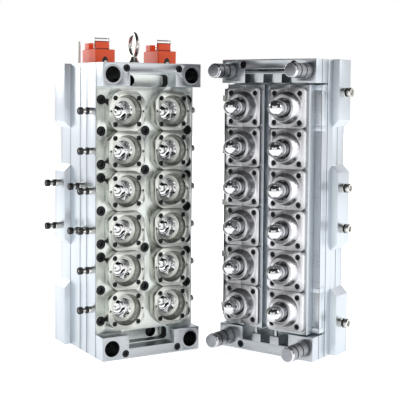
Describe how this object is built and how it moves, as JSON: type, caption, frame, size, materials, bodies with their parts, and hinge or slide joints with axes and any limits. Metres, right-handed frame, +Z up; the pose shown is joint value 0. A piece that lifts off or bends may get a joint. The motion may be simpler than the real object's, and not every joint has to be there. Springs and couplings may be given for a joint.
{
  "type": "preform mould",
  "caption": "Injection mould for bottle preforms, standing open: a cavity half with hot runner and a core half with domed cores and split neck rings on slides.",
  "frame": {"origin": "bottom centre of the box round both halves", "axes": "+Z up, -Y out of the parting face of the cavity half, +X to the right seen from that side"},
  "size_m": [0.509, 0.4774, 0.6675],
  "materials": {
    "plate_steel": "ground steel",
    "insert_steel": "ground and polished tool steel",
    "polished_steel": "mirror polished tool steel",
    "dark_steel": "blackened steel",
    "manifold_steel": "hot-runner steel",
    "copper_alloy": "copper alloy",
    "connector_orange": "orange coated housing",
    "black_plastic": "black plastic",
    "fitting_metal": "nickel plated"
  },
  "bodies": {
    "mould_halves": {"bar_screws": "dark_steel", "cam_combs": "plate_steel", "cavity_bars": "plate_steel", "cavity_inserts": "insert_steel", "cavity_plate": "plate_steel", "connector_bases": "connector_orange", "connector_hoods": "connector_orange", "core_bars": "plate_steel", "core_fittings": "fitting_metal", "core_plate": "plate_steel", "cores": "polished_steel", "eyebolt": "fitting_metal", "fitting_bodies": "fitting_metal", "fitting_rings": "black_plastic", "fixed_clamp_plate": "plate_steel", "gate_inserts": "polished_steel", "guide_bushes": "insert_steel", "hot_runner_manifold": "manifold_steel", "leader_pins": "polished_steel", "lever_pivots": "fitting_metal", "locating_ring": "manifold_steel", "loop_fittings": "fitting_metal", "manifold_plate": "plate_steel", "moving_clamp_plate": "plate_steel", "nozzle_plate": "plate_steel", "nozzles": "copper_alloy", "plate_screws": "dark_steel", "post": "fitting_metal", "pressure_pads": "manifold_steel", "sprue_bushing": "insert_steel", "support_strips": "dark_steel"},
    "stripper": {"stripper_plate": "plate_steel", "guide_keys": "manifold_steel", "ejector_rods": "polished_steel", "air_line": "black_plastic", "air_line_clips": "fitting_metal"},
    "left_slide_set": {"left_slides": "plate_steel", "left_neck_rings": "insert_steel"},
    "right_slide_set": {"right_slides": "plate_steel", "right_neck_rings": "insert_steel"},
    "left_lever": {"connector_lever_left": "fitting_metal"},
    "right_lever": {"connector_lever_right": "fitting_metal"}
  },
  "joints": [
    {"name": "stripper_travel", "type": "slide", "parent": "mould_halves", "child": "stripper", "axis": [-0.9128, -0.4083, 0], "range_m": [0, 0.05]},
    {"name": "left_spread", "type": "slide", "parent": "stripper", "child": "left_slide_set", "axis": [-0.4083, 0.9128, 0], "range_m": [0, 0.007]},
    {"name": "right_spread", "type": "slide", "parent": "stripper", "child": "right_slide_set", "axis": [0.4083, -0.9128, 0], "range_m": [0, 0.007]},
    {"name": "left_lever_swing", "type": "hinge", "parent": "mould_halves", "child": "left_lever", "pos_m": [-0.17303, 0.09766, 0.6355], "axis": [1, 0, 0], "range_deg": [-80, 80]},
    {"name": "right_lever_swing", "type": "hinge", "parent": "mould_halves", "child": "right_lever", "pos_m": [-0.02903, 0.09766, 0.6355], "axis": [1, 0, 0], "range_deg": [-80, 80]}
  ],
  "couplings": [
    {"joint": "left_spread", "follows": "stripper_travel", "ratio": 0.14},
    {"joint": "right_spread", "follows": "stripper_travel", "ratio": 0.14}
  ]
}
